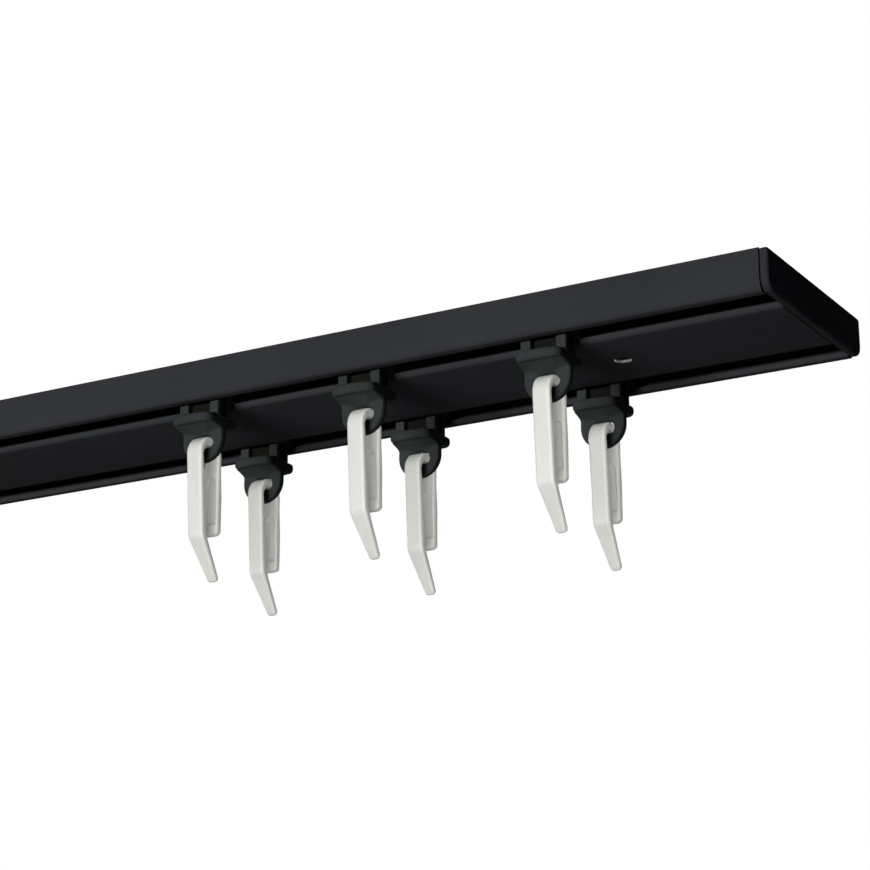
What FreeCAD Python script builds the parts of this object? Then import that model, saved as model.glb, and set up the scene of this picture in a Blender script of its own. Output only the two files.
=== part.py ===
import FreeCAD, Part
import math
import os

from FreeCAD import Vector

# Driving dimensions, in millimetres. +X runs along the track, -Y is its front, +Z is up.
# The origin is the middle of the face that lies against the ceiling.

# Extruded aluminium profile
profile_length = 400.0
profile_width = 60.0
profile_height = 10.6
side_wall = 1.2
top_plate = 1.2
lip_thickness = 1.4
upper_edge_radius = 0.3
lower_edge_radius = 2.0
inner_corner_radius = 0.8
channel_width = 14.7
slot_width = 9.7
web_edge_round = 1.4
screw_hole_radius = 2.05
screw_hole_inset = 50.0

# End caps, each with a hollow spigot in the middle chamber
cap_thickness = 2.3
cap_upper_radius = 1.2
cap_lower_radius = 3.0
cap_edge_bevel = 0.8
spigot_length = 10.0
spigot_wall = 1.5
spigot_clearance = 0.1
spigot_lead_in = 0.8
crush_rib_height = 0.3
crush_rib_width = 1.2
crush_rib_spacing = 14.0

# Gliders: distance of each from the right end of the profile, from left to right
front_stations = (165.0, 114.0, 60.0)
back_stations = (175.5, 123.0, 66.5)
glider_length = 12.7
head_side_clearance = 0.65
head_thickness = 2.2
head_corner_bevel = 2.0
head_lift = 0.1
hub_length = 8.0
hub_headroom = 0.7
hub_edge_bevel = 0.8
neck_depth = 5.8
neck_post_width = 2.5
neck_web_thickness = 2.2
neck_drop = 3.4
flange_depth = 15.0
flange_thickness = 2.6
flange_corner_radius = 1.5
flange_bulge = 1.0
flange_edge_bevel = 0.8
funnel_depth = 2.0
funnel_foot_inset = 0.1
eye_width = 12.7
eye_depth = 3.6
eye_limb_height = 4.0
eye_edge_bevel = 0.8
eye_opening_drop = 1.3
eye_opening_width = 6.0
eye_opening_height = 4.4
eye_opening_arch = 1.2
eye_opening_radius = 1.0
eye_seat_bevel = 1.2

# Hooks
hook_width = 4.9
hook_thickness = 1.7
hook_crown_thickness = 2.6
hook_jaw = 6.4
hook_seat_gap = 0.5
hook_set_back = 0.25
hook_front_slant = 4.0
hook_front_height = 27.7
hook_back_height = 26.2
hook_bend_angle = 37.0
hook_bend_radius = 4.0
hook_tail_length = 14.2
hook_tip_width = 2.9
hook_tip_radius = 1.0
hook_back_corner_radius = 1.4
hook_recess_depth = 0.8
hook_recess_top = 10.6
hook_recess_top_width = 2.4
hook_recess_foot = 3.0
hook_recess_foot_width = 3.4

# Levels and places that follow from them
right_end = profile_length / 2
underside = -profile_height
lip_top = underside + lip_thickness
channel_top = -top_plate
run_centre = profile_width / 2 - side_wall - channel_width / 2
chamber_half_width = run_centre - channel_width / 2 - side_wall
head_bottom = lip_top + head_lift
flange_top = underside - neck_drop
flange_bottom = flange_top - flange_thickness
eye_opening_top = flange_bottom - eye_opening_drop
eye_opening_floor = eye_opening_top - eye_opening_height
eye_bottom = eye_opening_floor - eye_limb_height
pivot_level = eye_opening_floor - eye_limb_height / 2
overrun = 1.0


def arc(start, middle, end):
    """Circular edge through three points."""
    return Part.Arc(start, middle, end).toShape()


def line(start, end):
    return Part.LineSegment(start, end).toShape()


def edges_at_level(shape, level):
    """Edges that lie wholly in the level plane z = level."""
    box_fits = lambda b: abs(b.ZMin - level) < 1e-5 and abs(b.ZMax - level) < 1e-5
    return [e for e in shape.Edges if box_fits(e.BoundBox)]


def yz_prism(edges, x_low, x_high):
    """Closed outline in the plane x = x_low, carried along to x_high."""
    return Part.Face(Part.Wire(edges)).extrude(Vector(x_high - x_low, 0, 0))


def outer_slab(x_low, x_high, upper_radius, lower_radius):
    """Slab as wide and high as the profile, with its own radii along its upper and lower edges."""
    half = profile_width / 2
    block = Part.makeBox(x_high - x_low, profile_width, profile_height, Vector(x_low, -half, underside))
    along = [e for e in block.Edges if abs(e.tangentAt(e.FirstParameter).x) > 0.5]
    upper = [e for e in along if e.CenterOfMass.z > underside / 2]
    lower = [e for e in along if e.CenterOfMass.z < underside / 2]
    return block.makeFillet(upper_radius, upper).makeFillet(lower_radius, lower)


def passage(y_middle, width):
    """Straight hollow along the whole profile, between the lips and the top plate."""
    length = profile_length + 2 * overrun
    corner = Vector(-length / 2, y_middle - width / 2, lip_top)
    return Part.makeBox(length, width, channel_top - lip_top, corner)


def run_passage(side):
    """Hollow of one run, its lower outer corner rounded to follow the profile's edge."""
    hollow = passage(side * run_centre, channel_width)
    outer = side * (run_centre + channel_width / 2)
    on_corner = lambda c: abs(c.y - outer) < 1e-5 and abs(c.z - lip_top) < 1e-5
    return hollow.makeFillet(inner_corner_radius, [e for e in hollow.Edges if on_corner(e.CenterOfMass)])


def slot_cutter(side):
    """Slot under one run. Its outer edge is square, its inner edge a quarter round on the web."""
    outer = side * (run_centre + slot_width / 2)
    inner = side * (run_centre - slot_width / 2)
    mouth = inner - side * web_edge_round
    spring = underside + web_edge_round
    turn = web_edge_round * (1 - math.sqrt(0.5))
    x = -right_end - overrun
    top = lip_top + overrun
    below = underside - overrun
    on_web = Vector(x, inner - side * turn, underside + turn)
    edges = [
        line(Vector(x, outer, below), Vector(x, outer, top)),
        line(Vector(x, outer, top), Vector(x, inner, top)),
        line(Vector(x, inner, top), Vector(x, inner, spring)),
        arc(Vector(x, inner, spring), on_web, Vector(x, mouth, underside)),
        line(Vector(x, mouth, underside), Vector(x, mouth, below)),
        line(Vector(x, mouth, below), Vector(x, outer, below)),
    ]
    return yz_prism(edges, x, right_end + overrun)


def screw_hole(x):
    """Hole through the web and, above it, the top plate."""
    depth = profile_height + 2 * overrun
    return Part.makeCylinder(screw_hole_radius, depth, Vector(x, 0, underside - overrun))


def track_profile():
    """Two C-shaped runs either side of a closed middle chamber."""
    shape = outer_slab(-right_end, right_end, upper_edge_radius, lower_edge_radius)
    cutters = [passage(0, 2 * chamber_half_width)]
    for side in (-1, 1):
        cutters.append(run_passage(side))
        cutters.append(slot_cutter(side))
        cutters.append(screw_hole(side * (right_end - screw_hole_inset)))
    return shape.cut(cutters)


def cap_spigot():
    """Hollow plug for the right-hand end, with crush ribs above and below."""
    reach = right_end - spigot_length
    half = chamber_half_width - spigot_clearance
    low = lip_top + spigot_clearance + crush_rib_height
    high = channel_top - spigot_clearance - crush_rib_height
    plug = Part.makeBox(spigot_length, 2 * half, high - low, Vector(reach, -half, low))
    hollow = Part.makeBox(
        spigot_length + overrun,
        2 * (half - spigot_wall),
        high - low - 2 * spigot_wall,
        Vector(reach - overrun, -half + spigot_wall, low + spigot_wall),
    )
    lead_in = [e for e in plug.Edges if e.BoundBox.XMax < reach + 1e-5]
    plug = plug.makeChamfer(spigot_lead_in, lead_in).cut(hollow)
    rib_height = high - low + 2 * crush_rib_height
    for side in (-1, 1):
        y = side * crush_rib_spacing / 2 - crush_rib_width / 2
        corner = Vector(reach + spigot_lead_in, y, low - crush_rib_height)
        rib = Part.makeBox(spigot_length - spigot_lead_in, crush_rib_width, rib_height, corner)
        plug = plug.fuse(rib.cut(hollow))
    return plug


def end_cap():
    """Right-hand cap: a plate over the profile's end, rounder at its corners, with a bevelled outer edge."""
    outer_face = right_end + cap_thickness
    plate = outer_slab(right_end, outer_face, cap_upper_radius, cap_lower_radius)
    rim = [e for e in plate.Edges if e.BoundBox.XMin > outer_face - 1e-5]
    return plate.makeChamfer(cap_edge_bevel, rim).fuse(cap_spigot()).removeSplitter()


def glider_head():
    """Sledge that rides on both lips, with a hub above that keeps it level."""
    half = channel_width / 2 - head_side_clearance
    foot = eight_corners(glider_length / 2, half, head_corner_bevel, head_bottom)
    sledge = flat_face(foot).extrude(Vector(0, 0, head_thickness))
    hub_top = channel_top - hub_headroom
    corner = Vector(-hub_length / 2, -neck_depth / 2, head_bottom)
    hub = Part.makeBox(hub_length, neck_depth, hub_top - head_bottom, corner)
    hub = hub.makeChamfer(hub_edge_bevel, edges_at_level(hub, hub_top))
    return sledge.fuse(hub)


def glider_neck():
    """Block through the slot, hollowed front and back so that two posts and a web remain."""
    low = flange_top - flange_thickness / 2
    height = head_bottom + head_thickness / 2 - low
    length = glider_length
    neck = Part.makeBox(length, neck_depth, height, Vector(-length / 2, -neck_depth / 2, low))
    pocket_length = length - 2 * neck_post_width
    pocket_depth = (neck_depth - neck_web_thickness) / 2
    pocket_height = head_bottom - flange_top
    for y in (-neck_depth / 2, neck_depth / 2 - pocket_depth):
        corner = Vector(-pocket_length / 2, y, flange_top)
        neck = neck.cut(Part.makeBox(pocket_length, pocket_depth, pocket_height, corner))
    return neck


def glider_flange():
    """Plate below the slot, its front and back edges bowed outwards."""
    x = glider_length / 2
    y = flange_depth / 2
    shoulder = y - flange_bulge
    z = flange_bottom
    edges = [
        arc(Vector(-x, -shoulder, z), Vector(0, -y, z), Vector(x, -shoulder, z)),
        line(Vector(x, -shoulder, z), Vector(x, shoulder, z)),
        arc(Vector(x, shoulder, z), Vector(0, y, z), Vector(-x, shoulder, z)),
        line(Vector(-x, shoulder, z), Vector(-x, -shoulder, z)),
    ]
    plate = Part.Face(Part.Wire(edges)).extrude(Vector(0, 0, flange_thickness))
    upright = [e for e in plate.Edges if abs(e.tangentAt(e.FirstParameter).z) > 0.5]
    plate = plate.makeFillet(flange_corner_radius, upright)
    return plate.makeChamfer(flange_edge_bevel, edges_at_level(plate, flange_bottom))


def eight_corners(x_half, y_half, bevel, z):
    """Corners of a rectangle whose own corners are cut at 45 degrees, in order round it."""
    corners = []
    for sx, sy in ((1, 1), (-1, 1), (-1, -1), (1, -1)):
        pair = [Vector(sx * x_half, sy * (y_half - bevel), z), Vector(sx * (x_half - bevel), sy * y_half, z)]
        corners += pair if sx == sy else pair[::-1]
    return corners


def flat_face(corners):
    return Part.Face(Part.makePolygon(corners + corners[:1]))


def tapered_block(foot, top):
    """Solid between two outlines with the same number of corners, its sides all flat."""
    faces = [flat_face(foot), flat_face(top)]
    for i in range(len(foot)):
        after = (i + 1) % len(foot)
        faces.append(flat_face([foot[i], foot[after], top[after], top[i]]))
    solid = Part.Solid(Part.Shell(faces))
    return solid if solid.Volume > 0 else solid.reversed()


def glider_funnel():
    """Shoulder that narrows from the flange to the eye."""
    inset = flange_edge_bevel
    top_x = glider_length / 2 - inset
    top_y = flange_depth / 2 - flange_bulge - inset
    foot_x = eye_width / 2 - funnel_foot_inset
    foot_y = eye_depth / 2
    top = eight_corners(top_x, top_y, flange_corner_radius - inset, flange_bottom + inset / 2)
    foot = eight_corners(foot_x, foot_y, eye_edge_bevel, flange_bottom - funnel_depth)
    return tapered_block(foot, top)


def eye_opening(depth):
    """Window through the eye, front to back: a flat seat with rounded corners under an arched top."""
    x = eye_opening_width / 2
    y = -depth / 2
    low = eye_opening_floor
    spring = eye_opening_top - eye_opening_arch
    edges = [
        line(Vector(-x, y, low), Vector(x, y, low)),
        line(Vector(x, y, low), Vector(x, y, spring)),
        arc(Vector(x, y, spring), Vector(0, y, eye_opening_top), Vector(-x, y, spring)),
        line(Vector(-x, y, spring), Vector(-x, y, low)),
    ]
    window = Part.Face(Part.Wire(edges)).extrude(Vector(0, depth, 0))
    at_floor = lambda b: b.ZMax < low + 1e-5 and b.XLength < 1e-5
    return window.makeFillet(eye_opening_radius, [e for e in window.Edges if at_floor(e.BoundBox)])


def glider_eye():
    """Ring that carries the hook: a U of rounded section, closed above by the shoulder."""
    radius = eye_width / 2
    y = -eye_depth / 2
    centre_z = eye_bottom + radius
    top = flange_bottom + flange_edge_bevel / 2
    edges = [
        line(Vector(-radius, y, top), Vector(-radius, y, centre_z)),
        arc(Vector(-radius, y, centre_z), Vector(0, y, eye_bottom), Vector(radius, y, centre_z)),
        line(Vector(radius, y, centre_z), Vector(radius, y, top)),
        line(Vector(radius, y, top), Vector(-radius, y, top)),
    ]
    plate = Part.Face(Part.Wire(edges)).extrude(Vector(0, eye_depth, 0))
    on_a_face = lambda b: b.YLength < 1e-5 and b.ZMin < top - 1e-5
    plate = plate.makeChamfer(eye_edge_bevel, [e for e in plate.Edges if on_a_face(e.BoundBox)])
    ring = plate.cut(eye_opening(eye_depth + 2 * overrun))
    at_seat = lambda b: abs(b.ZMax - eye_opening_floor) < 1e-5 and b.YLength < 1e-5
    return ring.makeChamfer(eye_seat_bevel, [e for e in ring.Edges if at_seat(e.BoundBox)])


def glider():
    """One moulding: head, neck, flange, shoulder and eye."""
    pieces = [glider_neck(), glider_flange(), glider_funnel(), glider_eye()]
    return glider_head().fuse(pieces).cut(eye_opening(flange_depth)).removeSplitter()


def hook_levels():
    """Heights of the crown, the two arc centres, the bend and the back leg's foot, from the pivot."""
    inner_z = eye_limb_height / 2 + hook_seat_gap - hook_jaw / 2
    outer_z = inner_z + hook_crown_thickness - hook_thickness
    crown = outer_z + hook_jaw / 2 + hook_thickness
    return crown, inner_z, outer_z, crown - hook_front_height, crown - hook_back_height


def slanted(degrees):
    """Directions along and square to a line in the YZ plane, turned from straight down by an angle."""
    angle = math.radians(degrees)
    return Vector(0, math.sin(angle), -math.cos(angle)), Vector(0, math.cos(angle), math.sin(angle))


def hook_outline(x):
    """Side view of the hook: over the eye, down both legs and along the bent tail of the front leg."""
    crown, inner_z, outer_z, corner_z, back_z = hook_levels()
    inner = hook_jaw / 2
    outer = inner + hook_thickness
    foot = hook_thickness / 2
    inner_centre = Vector(x, hook_set_back, inner_z)
    outer_centre = Vector(x, hook_set_back, outer_z)
    down, inwards = slanted(hook_front_slant)
    front_inner = inner_centre - inwards * inner
    front_outer = outer_centre - inwards * outer
    corner = front_outer + down * ((front_outer.z - corner_z) / -down.z)
    half_turn = (hook_bend_angle - hook_front_slant) / 2
    tangent = hook_bend_radius * math.tan(math.radians(half_turn))
    bend_centre = corner - down * tangent + inwards * hook_bend_radius

    def bend_point(radius, turn):
        return bend_centre - slanted(hook_front_slant + turn)[1] * radius

    along = slanted(hook_bend_angle)[0]
    run = along * (hook_tail_length - tangent - foot)
    turns = (0, half_turn, 2 * half_turn)
    outside = [bend_point(hook_bend_radius, turn) for turn in turns]
    inside = [bend_point(hook_bend_radius - hook_thickness, turn) for turn in turns]
    tail_outer = outside[2] + run
    tail_inner = inside[2] + run
    tip = (tail_outer + tail_inner) * 0.5 + along * foot
    back_outer = hook_set_back + outer
    back_inner = hook_set_back + inner
    leg_end = back_z + foot
    leg_foot = Vector(x, back_inner + foot, back_z)
    return [
        arc(Vector(x, back_outer, outer_z), Vector(x, hook_set_back, crown), front_outer),
        line(front_outer, outside[0]),
        arc(*outside),
        line(outside[2], tail_outer),
        arc(tail_outer, tip, tail_inner),
        line(tail_inner, inside[2]),
        arc(*inside[::-1]),
        line(inside[0], front_inner),
        arc(front_inner, Vector(x, hook_set_back, inner_z + inner), Vector(x, back_inner, inner_z)),
        line(Vector(x, back_inner, inner_z), Vector(x, back_inner, leg_end)),
        arc(Vector(x, back_inner, leg_end), leg_foot, Vector(x, back_outer, leg_end)),
        line(Vector(x, back_outer, leg_end), Vector(x, back_outer, outer_z)),
    ]


def tapered_front(y_low, y_high, wide, narrow, taper_top, foot, radius):
    """Upright slab whose sides draw in below taper_top to a rounded foot, carried along Y."""
    high = hook_levels()[0] + overrun
    points = [
        Vector(-wide, y_low, high),
        Vector(wide, y_low, high),
        Vector(wide, y_low, taper_top),
        Vector(narrow, y_low, foot),
        Vector(-narrow, y_low, foot),
        Vector(-wide, y_low, taper_top),
    ]
    slab = Part.Face(Part.makePolygon(points + points[:1])).extrude(Vector(0, y_high - y_low, 0))
    at_foot = lambda b: b.ZMax < foot + 1e-5 and b.XLength < 1e-5
    return slab.makeFillet(radius, [e for e in slab.Edges if at_foot(e.BoundBox)])


def hook_recess():
    """Shallow pocket down the inner face of the back leg, round at the top and wider at the foot."""
    crown, back_z = hook_levels()[0], hook_levels()[4]
    y = hook_set_back + hook_jaw / 2 - overrun
    top_half = hook_recess_top_width / 2
    foot_half = hook_recess_foot_width / 2
    shoulder = crown - hook_recess_top - top_half
    foot = back_z + hook_recess_foot
    summit = Vector(0, y, shoulder + top_half)
    edges = [
        arc(Vector(-top_half, y, shoulder), summit, Vector(top_half, y, shoulder)),
        line(Vector(top_half, y, shoulder), Vector(foot_half, y, foot)),
        line(Vector(foot_half, y, foot), Vector(-foot_half, y, foot)),
        line(Vector(-foot_half, y, foot), Vector(-top_half, y, shoulder)),
    ]
    return Part.Face(Part.Wire(edges)).extrude(Vector(0, hook_recess_depth + overrun, 0))


def back_leg_foot():
    """What is taken off the lower corners of the back leg to round them."""
    radius = hook_back_corner_radius
    back_z = hook_levels()[4]
    inner = hook_set_back + hook_jaw / 2 - overrun
    depth = hook_thickness + 2 * overrun
    low = Vector(-hook_width / 2 - overrun, inner, back_z - overrun)
    band = Part.makeBox(hook_width + 2 * overrun, depth, radius + overrun, low)
    foot = Part.makeBox(hook_width, depth, 2 * radius + overrun, Vector(-hook_width / 2, inner, back_z))
    at_foot = lambda b: b.ZMax < back_z + 1e-5 and b.XLength < 1e-5
    return band.cut(foot.makeFillet(radius, [e for e in foot.Edges if at_foot(e.BoundBox)]))


def hook():
    """One moulding: a strap bent over the eye, with a long front leg that ends in a tapered tail."""
    corner_z = hook_levels()[3]
    half = hook_width / 2
    reach = hook_front_height
    strap = yz_prism(hook_outline(-half), -half, half)
    tip_z = strap.BoundBox.ZMin
    taper = tapered_front(-reach, reach, half, hook_tip_width / 2, corner_z, tip_z, hook_tip_radius)
    return strap.common(taper).cut([back_leg_foot(), hook_recess()])


def export(shape, name):
    shape.exportStep("parts/" + name + ".step")


def main():
    os.makedirs("parts", exist_ok=True)
    export(track_profile(), "track_profile")
    cap = end_cap()
    export(cap, "end_cap_right")
    export(cap.mirror(Vector(0, 0, 0), Vector(1, 0, 0)), "end_cap_left")
    one_glider = glider()
    one_hook = hook()
    for run, side, stations in (("front", -1, front_stations), ("back", 1, back_stations)):
        for number, station in enumerate(stations, start=1):
            place = Vector(right_end - station, side * run_centre, 0)
            carried = one_glider.copy()
            carried.translate(place)
            export(carried, f"glider_{run}_{number}")
            hung = one_hook.copy()
            hung.translate(place + Vector(0, 0, pivot_level))
            export(hung, f"hook_{run}_{number}")


main()
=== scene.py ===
import math

import bpy
import numpy as np
from mathutils import Matrix, Vector
from mathutils.geometry import tessellate_polygon


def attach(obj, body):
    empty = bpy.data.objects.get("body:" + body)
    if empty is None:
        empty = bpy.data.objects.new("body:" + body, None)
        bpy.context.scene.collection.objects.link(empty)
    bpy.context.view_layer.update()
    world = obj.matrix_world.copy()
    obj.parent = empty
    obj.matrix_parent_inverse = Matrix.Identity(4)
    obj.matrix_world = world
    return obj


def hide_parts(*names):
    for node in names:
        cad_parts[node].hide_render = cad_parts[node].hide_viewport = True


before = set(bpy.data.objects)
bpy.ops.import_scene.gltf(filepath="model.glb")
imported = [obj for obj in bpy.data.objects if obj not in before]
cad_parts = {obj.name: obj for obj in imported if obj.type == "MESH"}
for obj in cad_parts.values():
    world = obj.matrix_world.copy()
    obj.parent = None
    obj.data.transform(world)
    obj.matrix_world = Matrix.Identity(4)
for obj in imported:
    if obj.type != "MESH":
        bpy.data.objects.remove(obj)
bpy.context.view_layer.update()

# Sizes in millimetres, nearly all as on the solids. +X runs along the track, -Y is its front, +Z is up.
LENGTH, WIDTH, HEIGHT = 400.0, 60.0, 10.6
WALL, TOP_PLATE, LIP = 1.2, 1.2, 1.4
RUN_MIDDLE, RUN_HALF, SLOT_HALF = 21.45, 7.35, 4.85
CHAMBER_HALF = 12.9
UPPER_CORNER, LOWER_CORNER_WIDE, LOWER_CORNER_TALL = 0.3, 1.6, 3.0
SLOT_EDGE = 0.15
CAP_THICKNESS, CAP_RIM = 2.3, 0.8
CAP_CORNERS = np.array([1.2, 1.2, 3.0, 3.0])
HOLE_X, HOLE_RADIUS, HOLE_BREAK = 150.0, 2.05, 0.15
PATCH_HALF = 6.0
STATIONS = {"front": (35.0, 86.0, 140.0), "back": (24.5, 77.0, 133.5)}
SIDES = {"front": -1, "back": 1}
GLIDER_HALF, NECK_DEEP = 6.35, 2.9
HEAD_BOTTOM, FLANGE_TOP, FLANGE_BOTTOM = -9.1, -14.0, -16.6
EYE_TOP, EYE_FLOOR, EYE_BOTTOM = -17.9, -22.3, -26.3
PIVOT = (EYE_FLOOR + EYE_BOTTOM) / 2
STRAP_HALF_WIDTH, STRAP_THICKNESS, SEAT_GAP = 2.45, 1.7, 0.5
LEG_ROWS, TAIL_ROWS, CLOSING_ROWS = 90, 20, 7


def grid_faces(rows, columns, closed):
    """Four-cornered faces of a grid of points: each point, the next in its row and the two after them in
    the following row. Where closed, the last column joins the first."""
    corner = np.arange(rows * columns).reshape(rows, columns)
    ahead = np.roll(corner, -1, axis=1)
    if not closed:
        corner, ahead = corner[:, :-1], ahead[:, :-1]
    return np.stack([corner[:-1], ahead[:-1], ahead[1:], corner[1:]], axis=-1).reshape(-1, 4)


def tube(rings):
    """Rings one after the other, each anticlockwise about the way they go, with a flat face at each end."""
    rows, columns = rings.shape[:2]
    corner = np.arange(rows * columns).reshape(rows, columns)
    ends = [corner[0, ::-1].tolist(), corner[-1].tolist()]
    return rings.reshape(-1, 3), grid_faces(rows, columns, True).tolist() + ends


def piece(name, body, node, material, parts, sharp=35):
    """One object of several parts in millimetres, smooth up to the given angle, riding on its body."""
    points, faces, start = [], [], 0
    for part_points, part_faces in parts:
        points.append(part_points)
        faces += [[index + start for index in face] for face in part_faces]
        start += len(part_points)
    mesh = bpy.data.meshes.new(name)
    mesh.from_pydata((np.concatenate(points) * 0.001).tolist(), [], faces)
    mesh.polygons.foreach_set("use_smooth", np.ones(len(mesh.polygons), bool))
    mesh.set_sharp_from_angle(angle=math.radians(sharp))
    mesh.materials.append(material)
    shown = bpy.data.objects.new(name, mesh)
    bpy.context.scene.collection.objects.link(shown)
    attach(shown, body)
    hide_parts(node)
    return shown


def rounded_outline(half_u, half_v, radii, steps=6, along=1):
    """Rectangle with a quarter circle at each corner, anticlockwise from the upper right: the corner's
    centre plus its radius times (cos, sin). Each side is cut into as many lengths as along says."""
    radii = np.broadcast_to(radii, 4).astype(float)
    signs = np.array([(1, 1), (-1, 1), (-1, -1), (1, -1)])
    centres = signs * (np.array([half_u, half_v]) - radii[:, None])
    angles = np.radians(90.0) * (np.arange(4)[:, None] + np.linspace(0, 1, steps + 1))
    corners = centres[:, None] + radii[:, None, None] * np.stack([np.cos(angles), np.sin(angles)], axis=-1)
    if along < 2:
        return corners.reshape(-1, 2)
    share = np.linspace(0, 1, along + 1)[1:-1, None]
    ahead = np.roll(corners, -1, axis=0)[:, :1]
    sides = corners[:, -1:] * (1 - share) + ahead * share
    return np.concatenate([corners, sides], axis=1).reshape(-1, 2)


def at_x(outline, x):
    """A section in (y, z), put at x along the track."""
    return np.insert(outline, 0, x, axis=1)


def at_z(outline, z):
    """A plan in (x, y), put at the level z."""
    return np.insert(outline, 2, z, axis=1)


def block(half_x, half_y, low, high, corner, edge, bow=0.0, top_edge=None, middle=(0.0, 0.0)):
    """Upright block with rounded corners and rims. Over the last bit of height, edge times (1 - sin) of
    a turn, the outline draws in by edge times (1 - cos). Front and back swell by the bow, as a parabola."""
    top_edge = edge if top_edge is None else top_edge
    turn = np.radians(np.linspace(0, 90, 5))
    levels = np.sort([low + edge * (1 - np.sin(turn)), high - top_edge * (1 - np.sin(turn))]).ravel()
    insets = np.concatenate([edge * (1 - np.cos(turn[::-1])), top_edge * (1 - np.cos(turn))])
    rings = []
    for level, inset in zip(levels, insets):
        outline = rounded_outline(half_x - inset, half_y - inset, max(corner - inset, 0.05), along=8)
        x, y = outline.T
        outline[:, 1] += bow * np.sign(y) * (1 - (x / half_x) ** 2) * (np.abs(y) > half_y * 0.5)
        rings.append(at_z(outline + middle, level))
    return tube(np.array(rings))


def moved(parts, offset):
    """The same parts, each point plus the offset."""
    return [(points + offset, faces) for points, faces in parts]


def corner_path(corners, steps=8):
    """Closed outline through corners (u, v, reach). A corner with a reach becomes a quarter ellipse:
    the corner plus the way back times (1 - sin) plus the way on times (1 - cos)."""
    place = np.array([c[:2] for c in corners], float)
    outline = []
    neighbours = np.roll(place, 1, axis=0), np.roll(place, -1, axis=0)
    for here, before, after, (_, _, reach) in zip(place, *neighbours, corners):
        if reach == 0:
            outline.append(here[None])
            continue
        first, last = np.broadcast_to(reach, 2)
        back = first * (before - here) / np.linalg.norm(before - here)
        on = last * (after - here) / np.linalg.norm(after - here)
        turn = np.radians(np.linspace(0, 90, steps + 1))[:, None]
        outline.append(here + back * (1 - np.sin(turn)) + on * (1 - np.cos(turn)))
    return np.concatenate(outline)


# Track profile

def profile_outlines():
    """Section of the extrusion in (y, z): the metal's outline, in through both slots, and the chamber."""
    half, low, lip, ceiling = WIDTH / 2, -HEIGHT, LIP - HEIGHT, -TOP_PLATE
    near, far = RUN_MIDDLE - SLOT_HALF, RUN_MIDDLE + SLOT_HALF
    right_run = [
        (near, low, LIP - 0.001), (near, lip, 0), (RUN_MIDDLE - RUN_HALF, lip, 0),
        (RUN_MIDDLE - RUN_HALF, ceiling, 0), (half - WALL, ceiling, 0), (half - WALL, lip, 0.8),
        (far, lip, SLOT_EDGE), (far, low, SLOT_EDGE),
    ]
    left_run = [(-y, z, reach) for y, z, reach in right_run[::-1]]
    patch = np.linspace(-PATCH_HALF, PATCH_HALF, 13)

    def line(z, step):
        """Points 1 mm apart across the patch round a hole, where the plates with a hole join on."""
        return [(y, z, 0) for y in patch[::step]]

    metal = corner_path(
        [(half, 0.0, UPPER_CORNER)] + line(0.0, -1) + [(-half, 0.0, UPPER_CORNER)]
        + [(-half, low, (LOWER_CORNER_TALL, LOWER_CORNER_WIDE))]
        + left_run + line(low, 1) + right_run
        + [(half, low, (LOWER_CORNER_WIDE, LOWER_CORNER_TALL))]
    )
    chamber = corner_path(
        [(-CHAMBER_HALF, ceiling, 0)] + line(ceiling, 1) + [(CHAMBER_HALF, ceiling, 0)]
        + [(CHAMBER_HALF, lip, 0)] + line(lip, -1) + [(-CHAMBER_HALF, lip, 0)]
    )
    return metal, chamber


def square_points():
    """Points 1 mm apart round the square patch, anticlockwise, and the angle of each from its middle."""
    side = np.linspace(-PATCH_HALF, PATCH_HALF, 13)[:-1]
    edge = np.full(12, PATCH_HALF)
    quarters = [(edge, side), (-side, edge), (-edge, -side), (side, -edge)]
    square = np.concatenate([np.stack(pair, axis=-1) for pair in quarters])
    return square, np.arctan2(square[:, 1], square[:, 0])


def plate_with_hole(x, level, up):
    """Square of plate round a hole, in rings: the circle times (1 - share) plus the square times share."""
    square, angle = square_points()
    circle = (HOLE_RADIUS + HOLE_BREAK) * np.stack([np.cos(angle), np.sin(angle)], axis=-1)
    share = np.array([0, 0.4, 0.75, 1.0])[:, None, None]
    rings = circle * (1 - share) + square * share
    points = np.concatenate([rings, np.full(rings.shape[:2] + (1,), level)], axis=-1) + (x, 0, 0)
    faces = grid_faces(len(points), points.shape[1], True)
    return points.reshape(-1, 3), (faces if up else faces[:, ::-1]).tolist()


def hole_wall(x, low, high):
    """Cylinder wall that faces its axis, (cos, sin) times its radius, with a broken edge at each end."""
    angle = square_points()[1]
    radius = np.array([HOLE_BREAK, 0, 0, HOLE_BREAK])[:, None] + HOLE_RADIUS
    level = np.array([low, low + HOLE_BREAK, high - HOLE_BREAK, high])[:, None]
    points = np.stack([x + radius * np.cos(angle), radius * np.sin(angle), level + 0 * angle], axis=-1)
    return points.reshape(-1, 3), grid_faces(4, len(angle), True)[:, ::-1].tolist()


def profile_end(metal, chamber, x, flip):
    """Cut end of the extrusion: triangles between both outlines, so that the chamber stays open. Each is
    turned to face out by the sign of its normal, the cross product of two of its sides."""
    loops = [at_x(loop, x) for loop in (metal, chamber)]
    corners = tessellate_polygon([[Vector(p) for p in loop] for loop in loops])
    points = np.concatenate(loops)
    faces = []
    for a, b, c in corners:
        normal = np.cross(points[b] - points[a], points[c] - points[a])
        faces.append((a, b, c) if (normal[0] < 0) == flip else (a, c, b))
    return points, faces


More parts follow.
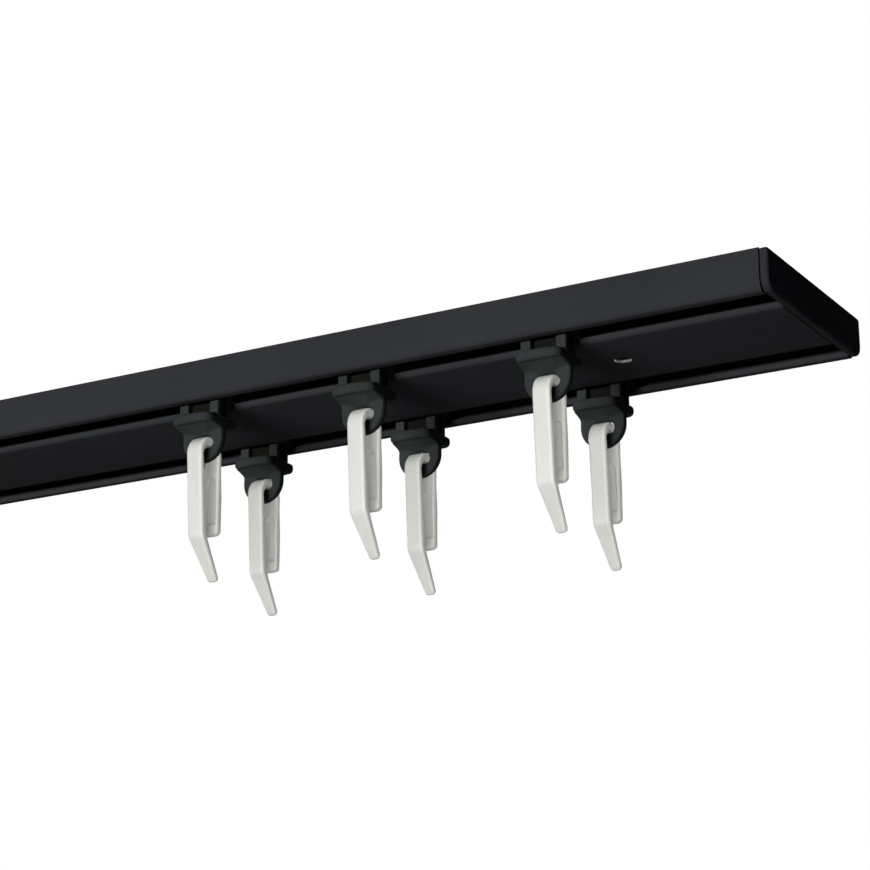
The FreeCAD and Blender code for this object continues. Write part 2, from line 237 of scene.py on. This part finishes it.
def track_surface():
    """Both outlines carried from end to end. Round each hole, the faces of the square patch give way to
    plates with a hole and the walls between them."""
    metal, chamber = profile_outlines()
    near_hole = np.linspace(HOLE_X - PATCH_HALF, HOLE_X + PATCH_HALF, 13)
    between = np.linspace(-120, 120, 13)
    rows = np.concatenate([[-LENGTH / 2], -near_hole[::-1], between, near_hole, [LENGTH / 2]])
    parts = []
    for outline in (metal, chamber):
        points = np.concatenate([at_x(outline, x) for x in rows])
        faces = grid_faces(len(rows), len(outline), True)
        x, y, _ = np.abs(points[faces].mean(axis=1)).T
        level = np.ptp(points[faces][:, :, 2], axis=1) < 1e-6
        patch = level & (np.abs(x - HOLE_X) < PATCH_HALF) & (y < PATCH_HALF)
        parts.append((points, faces[~patch].tolist()))
    for x in (-HOLE_X, HOLE_X):
        for low, high in ((-HEIGHT, LIP - HEIGHT), (-TOP_PLATE, 0.0)):
            parts += [plate_with_hole(x, low, False), plate_with_hole(x, high, True)]
            parts.append(hole_wall(x, low, high))
    parts.append(profile_end(metal, chamber, -LENGTH / 2, True))
    parts.append(profile_end(metal, chamber, LENGTH / 2, False))
    return parts


# End caps

def cap_surface(side):
    """Plate whose rim draws in by CAP_RIM times (1 - cos), with a fine groove at the profile, and behind
    it a hollow spigot with four crush ribs. The left cap is the right one with x turned round."""
    end = LENGTH / 2
    sunk, shoulder, tip = end + 0.5, end - 9.2, end - 10.0
    spigot_half, spigot_tall, taper, wall, level = 12.8, 3.6, 0.8, 1.5, -5.2

    def plate(inset, x):
        """Ring of the plate at x past the end: its rectangle and corner radii less the inset."""
        corners = CAP_CORNERS - min(inset, CAP_RIM)
        outline = rounded_outline(WIDTH / 2 - inset, HEIGHT / 2 - inset, corners, steps=8, along=6)
        return at_x(outline + (0, -HEIGHT / 2), end + x)

    def spigot(inset, x):
        """Ring of the spigot at x: its rectangle less the inset, with small corners."""
        outline = rounded_outline(spigot_half - inset, spigot_tall - inset, 0.2, steps=2)
        return at_x(outline + (0, level), x)

    turn = np.radians(np.linspace(0, 90, 7))
    rings = [plate(inset, x) for inset, x in ((0.35, 0), (0.3, 0.15), (0.1, 0.27), (0, 0.4))]
    rings += [plate(CAP_RIM * (1 - np.cos(a)), CAP_THICKNESS - CAP_RIM * (1 - np.sin(a))) for a in turn]
    parts = [tube(np.array(rings))]
    rings = [spigot(0, sunk), spigot(0, shoulder), spigot(taper, tip), spigot(wall, tip), spigot(wall, end)]
    points, faces = tube(np.array(rings))
    parts.append((points, [face[::-1] for face in faces]))
    for y in (-7, 7):
        for z in (-8.6, -1.8):
            rib = rounded_outline(0.6, 0.5, 0.1, steps=1) + (y, z)
            parts.append(tube(np.array([at_x(rib, shoulder), at_x(rib, sunk)])))
    if side > 0:
        return parts
    return [(points * (-1, 1, 1), [face[::-1] for face in faces]) for points, faces in parts]


# Gliders

def seen_from(centre, outline, angles):
    """Distance of an outline from a point inside it, at the given angles: in a straight line from one of
    its points to the next, each by its own angle and distance."""
    away = outline - centre
    angle = np.arctan2(away[:, 1], away[:, 0])
    order = np.argsort(angle)
    return np.interp(angles, angle[order], np.hypot(*away.T)[order], period=2 * np.pi)


def ring_depth(level, across, top, front):
    """Half the ring's depth at a level, at a share across from the window's edge (0) to the outer edge (1).

    It is 1.05 mm plus a power of the level's share of the way up to the flange, times a quarter circle at
    both edges. Towards the top, the front's curve starts lower and its inner edge is rounder, and the back
    is 1.3 mm deeper.
    """
    thin, flare, flare_start, flare_height, edge = 1.05, 4.65, -18.3, 1.9, 0.12
    lean = top * front
    share = np.clip((level - flare_start + 0.6 * lean) / (flare_height + 0.6 * lean), 0, 1)
    depth = thin + flare * share ** (3 - 1.5 * lean) + 1.3 * top * (1 - front) * (1 - share)
    inner = np.clip(across / (edge + 0.25 * lean), 0, 1)
    outer = np.clip((1 - across) / edge, 0, 1)
    return depth * np.sqrt(inner * (2 - inner) * outer * (2 - outer))


def eye_surface():
    """Ring that flares into the flange. At each angle about the window's middle, the section goes from the
    U's edge along the back to the window's edge and returns along the front: its share across is
    (1 + cos) / 2 of a turn, and the sine's sign tells back from front."""
    centre = np.array([0.0, (EYE_TOP + EYE_FLOOR) / 2])
    radius, upper, dropped = 6.5, FLANGE_BOTTOM + 0.4, 0.475
    middle = EYE_BOTTOM + radius
    arc = np.radians(np.linspace(180, 360, 61))
    outline = np.concatenate([
        np.stack([np.full(20, -radius), np.linspace(upper, middle, 20)], axis=-1),
        np.stack([radius * np.cos(arc), middle + radius * np.sin(arc)], axis=-1),
        np.stack([np.full(20, radius), np.linspace(middle, upper, 20)], axis=-1),
        np.stack([np.linspace(radius, -radius, 40), np.full(40, upper)], axis=-1),
    ])
    window_half, window_tall = 3.45, (EYE_TOP - EYE_FLOOR) / 2 - dropped
    window = rounded_outline(window_half, window_tall, [2.4, 2.4, 1.3, 1.3], steps=12, along=12)
    angles = np.linspace(-np.pi, np.pi, 145)[:-1]
    outer = seen_from(centre, outline, angles)[:, None]
    inner = seen_from(centre, window + centre - (0, dropped), angles)[:, None]
    sine = np.sin(angles)[:, None]
    turn = np.linspace(0, 2 * np.pi, 49)[:-1]
    across = 0.5 + 0.5 * np.cos(turn)
    reach = inner + (outer - inner) * across
    level = centre[1] + reach * sine
    top = np.clip(sine * 2 - 0.4, 0, 1)
    deep = np.sign(np.sin(turn)) * ring_depth(level, across, top, np.sin(turn) < 0)
    points = np.stack([reach * np.cos(angles)[:, None], deep, level], axis=-1)
    faces = grid_faces(len(points) + 1, points.shape[1], True) % (len(points) * points.shape[1])
    return points.reshape(-1, 3), faces.tolist()


def glider_surface():
    """Head plate and stem inside the run, two posts with a web between them, the bowed flange and the eye:
    upright blocks, each by its half width, half depth, two levels, corner radius and rim."""
    head_deep, head_top, stem_half, stem_foot, stem_top = 6.7, -6.9, 4.0, -7.3, -1.9
    post_half, post_top, web_deep, flange_deep = 1.4, -8.5, 1.1, 6.5
    post_middle, foot = GLIDER_HALF - post_half, FLANGE_TOP - 1.0
    parts = [
        block(GLIDER_HALF, head_deep, HEAD_BOTTOM, head_top, 2.0, 0.25),
        block(stem_half, NECK_DEEP, stem_foot, stem_top, 0.4, 0.2, top_edge=0.8),
    ]
    for x in (-post_middle, post_middle):
        parts.append(block(post_half, NECK_DEEP, foot, post_top, 0.3, 0.2, middle=(x, 0)))
    parts.append(block(post_middle, web_deep, foot, post_top, 0.2, 0.2))
    parts.append(block(GLIDER_HALF, flange_deep, FLANGE_BOTTOM, FLANGE_TOP, 1.7, 1.0,
                       bow=1.0, top_edge=0.9))
    parts.append(eye_surface())
    return parts


# Hooks

def hook_line():
    """Inner and outer edge of the strap in (y, z) from the pivot, from the back foot over the crown to
    the tip: a straight leg, half a circle, a slanting leg, an arc round the bend and a straight tail. The
    front leg is half as thick again inwards, and the back leg a third outwards."""
    inner, thick, crown, knee = 3.2, STRAP_THICKNESS, 2.6, 4.0
    outer = inner + thick
    back_height, front_height, tail_length = 26.2, 27.7, 14.15
    set_back, slant, bend = 0.25, math.radians(4.0), math.radians(37.0)
    inner_z = (EYE_FLOOR - EYE_BOTTOM) / 2 + SEAT_GAP - inner
    outer_z = inner_z + crown - thick
    top = outer_z + outer
    leg = np.linspace(top - back_height + thick / 2, inner_z - 0.2, LEG_ROWS)
    inside = [np.stack([np.full(LEG_ROWS, set_back + inner), leg], axis=-1)]
    outside = [np.stack([np.full(LEG_ROWS, set_back + outer), leg], axis=-1)]
    turn = np.linspace(0, np.pi + slant, 37)
    inside.append(np.stack([set_back + inner * np.cos(turn), inner_z + inner * np.sin(turn)], axis=-1))
    outside.append(np.stack([set_back + outer * np.cos(turn), outer_z + outer * np.sin(turn)], axis=-1))
    down = np.array([math.sin(slant), -math.cos(slant)])
    inwards = np.array([math.cos(slant), math.sin(slant)])
    corner = outside[-1][-1] + down * ((outside[-1][-1, 1] - (top - front_height)) / math.cos(slant))
    tangent = knee * math.tan((bend - slant) / 2)
    centre = corner - down * tangent + inwards * knee
    turn = np.linspace(slant, bend, 9)
    heading = np.stack([np.cos(turn), np.sin(turn)], axis=-1)
    share = np.linspace(0, 1, 25)[1:-1, None]
    run = np.linspace(0, tail_length - tangent - thick / 2, 12)[1:, None]
    for edge, radius in ((inside, knee - thick), (outside, knee)):
        arc = centre - radius * heading
        edge.append(edge[-1][-1] * (1 - share) + arc[0] * share)
        edge.append(arc)
        edge.append(arc[-1] + np.array([math.sin(bend), -math.cos(bend)]) * run)
    inside, outside = np.concatenate(inside), np.concatenate(outside)
    row = np.arange(len(inside))
    front = 0.5 * np.clip((row - LEG_ROWS - 34) / 14, 0, 1) * np.clip((len(inside) - 1 - row) / 16, 0, 1)
    back = 0.3 * np.clip((-3.5 - inside[:, 1]) / 7, 0, 1) * (row < LEG_ROWS)
    through = outside - inside
    return inside - through * front[:, None], outside + through * back[:, None]


def hook_surface():
    """Strap of rounded section along the hook line, across it by the width and through it by the line's
    own thickness. Its width draws in along the tail, and a recess is pressed into the back leg."""
    inside, outside = hook_line()
    middle, half = (inside + outside) / 2, (outside - inside) / 2
    thick = np.linalg.norm(half, axis=1)
    out = half / thick[:, None]
    wide = np.full(len(middle), STRAP_HALF_WIDTH)
    tail_top, tail_end = -22.6, middle[-1, 1] - 0.7
    wide[-TAIL_ROWS:] -= np.clip((tail_top - middle[-TAIL_ROWS:, 1]) / (tail_top - tail_end), 0, 1)
    ends = np.radians(np.linspace(0, 88, CLOSING_ROWS + 1))[1:]

    def closing(at, heading, corner):
        """Rows that round an end off: onward by the half thickness times sin, thinner by cos, and
        narrower by the corner's arc."""
        onward = thick[at] * np.sin(ends)
        past = (onward + corner - thick[at]).clip(0)
        drawn = corner - np.sqrt(np.maximum(corner ** 2 - past ** 2, 0))
        across = np.repeat(out[at][None], CLOSING_ROWS, axis=0)
        return middle[at] + heading * onward[:, None], thick[at] * np.cos(ends), across, wide[at] - drawn

    last_step = middle[-1] - middle[-2]
    foot = closing(0, np.array([0.0, -1.0]), 1.4)
    tip = closing(-1, last_step / np.linalg.norm(last_step), 1.0)
    middle, thick, out, wide = (
        np.concatenate([first[::-1], between, last])
        for first, between, last in zip(foot, (middle, thick, out, wide), tip)
    )
    rings = []
    for row, (m, t, o, w) in enumerate(zip(middle, thick, out, wide)):
        section = rounded_outline(w, t, min(0.75, t * 0.9), steps=6, along=26)
        x, n = section[:, 0], section[:, 1]
        if row < LEG_ROWS + CLOSING_ROWS:
            n = n + np.where(n < 0, recess(x, m[1]), 0)
        rings.append(np.stack([x, m[0] + o[0] * n, m[1] + o[1] * n], axis=-1))
    return [tube(np.array(rings))]


def recess(x, level):
    """Depth of the back leg's recess: a smooth step of how far a point lies inside its straight sides and
    half-round top, and a longer slope at its foot."""
    top, foot, depth, soft, round_top, slope = -5.5, -18.6, 0.6, 0.5, 1.2, 1.2
    half_width = 1.2 + 0.5 * np.clip((top - level) / (top - foot), 0, 1)
    past = max(level - (top - round_top), 0)
    inside = (half_width - np.hypot(x, past)) / soft + 0.5
    press = np.clip(np.minimum(inside, (level - foot) / slope), 0, 1)
    return depth * press * press * (3 - 2 * press)


# Materials

class Shade:
    """A value in a material. Sums, differences and products of values add Math nodes, and node() adds any
    other node, with its settings and the values or links of its sockets, by name or as _number."""

    def __init__(self, tree, socket=None):
        self.tree, self.socket = tree, socket

    def node(self, kind, settings=None, output=0, **inputs):
        made = self.tree.nodes.new(kind)
        for key, value in (settings or {}).items():
            setattr(made, key, value)
        for key, value in inputs.items():
            socket = made.inputs[int(key[1:])] if key[0] == "_" else made.inputs[key.replace("_", " ")]
            if isinstance(value, Shade):
                self.tree.links.new(value.socket, socket)
            else:
                socket.default_value = value
        return Shade(self.tree, made.outputs[output] if len(made.outputs) else None)

    def output(self, which):
        """Another output of the node that made this value, by its name or number."""
        return Shade(self.tree, self.socket.node.outputs[which])

    def math(self, operation, *terms):
        """A Math node with these terms."""
        sockets = {f"_{i}": term for i, term in enumerate(terms)}
        return self.node("ShaderNodeMath", {"operation": operation}, **sockets)

    def __add__(self, other):
        return self.math("ADD", self, other)

    __radd__ = __add__

    def __sub__(self, other):
        return self.math("SUBTRACT", self, other)

    def __rsub__(self, other):
        return self.math("SUBTRACT", other, self)

    def __mul__(self, other):
        return self.math("MULTIPLY", self, other)

    __rmul__ = __mul__

    def mixed(self, low, high):
        """Colour that goes from low to high as this value goes from 0 to 1."""
        return self.node("ShaderNodeMix", {"data_type": "RGBA"}, output=2, _0=self, _6=low, _7=high)

    def between(self, low, high):
        """0 below low and 1 above high, smooth in between."""
        settings = {"interpolation_type": "SMOOTHSTEP"}
        return self.node("ShaderNodeMapRange", settings, _0=self, _1=low, _2=high)


def colour(red, green, blue):
    """A colour as a screen shows it, 0 to 255, in linear light."""
    share = np.array([red, green, blue]) / 255
    return (*np.where(share < 0.04045, share / 12.92, ((share + 0.055) / 1.055) ** 2.4), 1)


def new_material(name):
    """An empty material, its node tree and the object coordinates in it, in metres."""
    material = bpy.data.materials.new(name)
    material.use_nodes = True
    material.node_tree.nodes.clear()
    shade = Shade(material.node_tree)
    return material, shade, shade.node("ShaderNodeTexCoord", output=3)


def noise(shade, place, scale, detail=3.0, stretch=(1, 1, 1)):
    """Clouds of a given fineness, per metre, stretched along an axis where its factor is small."""
    if stretch != (1, 1, 1):
        place = shade.node("ShaderNodeMapping", _0=place, _3=stretch)
    return shade.node("ShaderNodeTexNoise", Vector=place, Scale=scale, Detail=detail)


def finish(shade, base, rough, height, distance, **others):
    """Surface with its colour, roughness and fine relief; other sockets by name, with _ for a space."""
    bump = shade.node("ShaderNodeBump", Strength=1.0, Distance=distance, Height=height)
    surface = shade.node("ShaderNodeBsdfPrincipled", Base_Color=base, Roughness=rough,
                         Normal=bump, **others)
    shade.node("ShaderNodeOutputMaterial", Surface=surface)


def anodised_aluminium():
    """Satin black oxide over fine drawing lines, worn to bare metal in the drilled screw holes."""
    material, shade, place = new_material("black_anodised_aluminium")
    lines = noise(shade, place, 1600, 2.0, (0.012, 1, 1))
    grain = noise(shade, place, 5200, 2.0)
    cloud = noise(shade, place, 22, 3.0)
    apart = shade.node("ShaderNodeSeparateXYZ", Vector=place)
    x, y, z = (apart.output(number) for number in range(3))
    along = shade.math("ABSOLUTE", x) - HOLE_X * 0.001
    radius = shade.math("SQRT", along * along + y * y)
    drilled = (1 - (radius + 0.00015 * grain).between(0.00222, 0.00232)) * (1 - z.between(-0.0101, -0.0098))
    streak = (0.7 * cloud + 0.3 * lines).between(0.3, 0.7)
    black = streak.mixed(colour(49, 50, 53), colour(54, 55, 57))
    base = drilled.mixed(black, colour(214, 209, 206))
    rough = 0.42 + 0.10 * cloud + 0.06 * lines - 0.12 * drilled
    finish(shade, base, rough, 0.5 * lines + 0.5 * grain, 0.000008, IOR=1.008, Metallic=0.9 * drilled)
    return material


def cap_plastic():
    """Black moulded plastic with a fine eroded grain, with painted shade in the groove at the profile."""
    material, shade, place = new_material("black_cap_plastic")
    grain = noise(shade, place, 3200, 2.0)
    cloud = noise(shade, place, 60, 3.0)
    apart = shade.node("ShaderNodeSeparateXYZ", Vector=place)
    end = LENGTH / 2 * 0.001
    # Painted shade: the base colour is nearly black in the groove where the cap meets the profile.
    painted_groove_shade = 1 - shade.math("ABSOLUTE", apart).between(end + 0.0002, end + 0.0005)
    black = cloud.between(0.3, 0.7).mixed(colour(47, 48, 51), colour(52, 53, 56))
    base = painted_groove_shade.mixed(black, colour(6, 6, 7))
    finish(shade, base, 0.46 + 0.14 * grain, grain, 0.00004, IOR=1.008)
    return material


def glider_plastic():
    """Black acetal: a smooth mould finish with faint flow marks and small scuffs, with painted shade in the
    neck hollows.
    """
    material, shade, place = new_material("black_glider_plastic")
    flow = noise(shade, place, 260, 3.0, (1, 1, 0.35))
    grain = noise(shade, place, 4200, 2.0)
    scuff = noise(shade, place, 900, 4.0, (0.25, 1, 1)).between(0.6, 0.72)
    apart = shade.node("ShaderNodeSeparateXYZ", Vector=place)
    y, z = apart.output(1), apart.output(2)
    aside = shade.math("ABSOLUTE", shade.math("ABSOLUTE", y) - RUN_MIDDLE * 0.001)
    # Painted shade: the base colour is darkened in the hollow between each neck's posts, where shade falls.
    painted_shade_levels = z.between(-0.0142, -0.0139) * (1 - z.between(-0.0096, -0.0092))
    hollow = (1 - aside.between(0.0012, 0.0016)) * painted_shade_levels
    streak = (0.7 * flow + 0.3 * scuff).between(0.25, 0.8)
    black = streak.mixed(colour(53, 56, 56), colour(63, 66, 66))
    base = hollow.mixed(black, colour(26, 26, 23))
    finish(shade, base, 0.40 + 0.16 * flow + 0.10 * scuff, 0.5 * grain + flow, 0.00004, IOR=1.012)
    return material


def hook_plastic():
    """Cool white moulded plastic, slightly wavy, with faint grey flow marks."""
    material, shade, place = new_material("white_hook_plastic")
    flow = noise(shade, place, 120, 3.0, (1, 1, 0.3))
    grain = noise(shade, place, 2600, 2.0)
    base = flow.between(0.3, 0.75).mixed(colour(206, 208, 203), colour(213, 215, 210))
    finish(shade, base, 0.34 + 0.12 * flow, 0.25 * grain + flow, 0.00006, Specular_IOR_Level=0.4,
           Subsurface_Weight=1.0, Subsurface_Radius=(1.0, 0.95, 0.8), Subsurface_Scale=0.0012)
    return material


aluminium = anodised_aluminium()
cap_black = cap_plastic()
glider_black = glider_plastic()
hook_white = hook_plastic()

piece("profile", "track", "track_profile", aluminium, track_surface())
for side, name in ((-1, "left"), (1, "right")):
    piece(f"cap_{name}", "track", f"end_cap_{name}", cap_black, cap_surface(side))
straps = []
for run, stations in STATIONS.items():
    for number, x in enumerate(stations, start=1):
        place = np.array([x, SIDES[run] * RUN_MIDDLE, 0.0])
        glider, hook = f"glider_{run}_{number}", f"hook_{run}_{number}"
        piece(f"runner_{run}_{number}", glider + "_body", glider,
              glider_black, moved(glider_surface(), place))
        straps.append(piece(f"strap_{run}_{number}", hook + "_body", hook,
                            hook_white, moved(hook_surface(), place + (0, 0, PIVOT))))


# Studio

def seen_by(shade, *rays):
    """1 for the named kinds of ray, 0 for all others."""
    path = shade.node("ShaderNodeLightPath")
    seen = path.output(rays[0])
    for ray in rays[1:]:
        seen = shade.math("MAXIMUM", seen, path.output(ray))
    return seen


def floor():
    """Plain pale floor, well below the hooks; what lifts it to a pale grey reaches the camera alone."""
    material, shade, place = new_material("pale_floor")
    cloud = noise(shade, place, 3, 3.0)
    base = cloud.mixed(colour(232, 232, 230), colour(238, 238, 236))
    lift = seen_by(shade, "Is Camera Ray").mixed((0, 0, 0, 1), colour(190, 190, 190))
    finish(shade, base, 0.8 + 0.1 * cloud, cloud, 0.0002, Emission_Color=lift, Emission_Strength=1.0)
    half, level = 4.0, -2.5
    corners = [(-half, -half, level), (half, -half, level), (half, half, level), (-half, half, level)]
    mesh = bpy.data.meshes.new("studio_floor")
    mesh.from_pydata(corners, [], [(0, 1, 2, 3)])
    mesh.materials.append(material)
    shown = bpy.data.objects.new("studio_floor", mesh)
    bpy.context.scene.collection.objects.link(shown)


def studio_world():
    """White to the camera and in reflections, and an even, faint bluish light on everything else."""
    world = bpy.data.worlds.new("studio")
    bpy.context.scene.world = world
    world.use_nodes = True
    world.node_tree.nodes.clear()
    shade = Shade(world.node_tree)
    seen = seen_by(shade, "Is Camera Ray", "Is Glossy Ray", "Is Transmission Ray")
    light = shade.node("ShaderNodeBackground", Color=(0.5, 0.72, 1.0, 1), Strength=0.02)
    white = shade.node("ShaderNodeBackground", Color=(1, 1, 1, 1), Strength=1.0)
    shown = shade.node("ShaderNodeMixShader", _0=seen, _1=light, _2=white)
    shade.node("ShaderNodeOutputWorld", Surface=shown)


GLIDERS_MIDDLE = (0.08, 0, -0.02)


def lamp(name, place, size, power, tint=(1, 1, 1), chosen=(), state="EXCLUDE"):
    """Soft rectangular lamp, as wide and as tall as its size says, aimed at the middle of the gliders.
    The chosen pieces are left out of its light. With the state INCLUDE, it lights them alone instead, and
    only they shade each other."""
    data = bpy.data.lights.new(name, "AREA")
    data.shape = "RECTANGLE"
    data.size, data.size_y = size
    data.energy, data.color = power, tint
    shown = bpy.data.objects.new(name, data)
    shown.location = place
    aim = Vector(GLIDERS_MIDDLE) - Vector(place)
    shown.rotation_euler = aim.to_track_quat("-Z", "Y").to_euler()
    bpy.context.scene.collection.objects.link(shown)
    if not chosen:
        return
    linked = bpy.data.collections.new(name + "_linked")
    for one in chosen:
        linked.objects.link(one)
    for entry in linked.collection_objects:
        entry.light_linking.link_state = state
    shown.light_linking.receiver_collection = linked
    if state == "INCLUDE":
        shown.light_linking.blocker_collection = linked


def camera():
    """The photograph's own view: 30.8 degrees round to the right and 16.6 degrees up from below."""
    data = bpy.data.cameras.new("camera")
    data.sensor_width = 36
    data.lens = 93.886
    data.clip_start, data.clip_end = 0.01, 20
    pitch, yaw = math.radians(16.644), math.radians(-30.824)
    forward = Vector((math.sin(yaw) * math.cos(pitch), math.cos(yaw) * math.cos(pitch), math.sin(pitch)))
    right = Vector((math.cos(yaw), -math.sin(yaw), 0)).normalized()
    up = right.cross(forward)
    shown = bpy.data.objects.new("camera", data)
    turn = Matrix((right, up, -forward)).transposed()
    shown.matrix_world = Matrix.Translation((0.388523, -0.492713, -0.193454)) @ turn.to_4x4()
    bpy.context.scene.collection.objects.link(shown)
    bpy.context.scene.camera = shown


floor()
studio_world()
lamp("key", (-0.1, -1.6, -0.3), (0.9, 0.12), 26, chosen=straps)
lamp("straps", (0.55, -1.65, -0.35), (2.2, 0.8), 46, (1.0, 0.995, 0.985), straps, "INCLUDE")
lamp("rear", (-1.1, 1.3, 0.9), (1.6, 1.0), 32)
camera()
bpy.context.scene.view_settings.view_transform = "Standard"
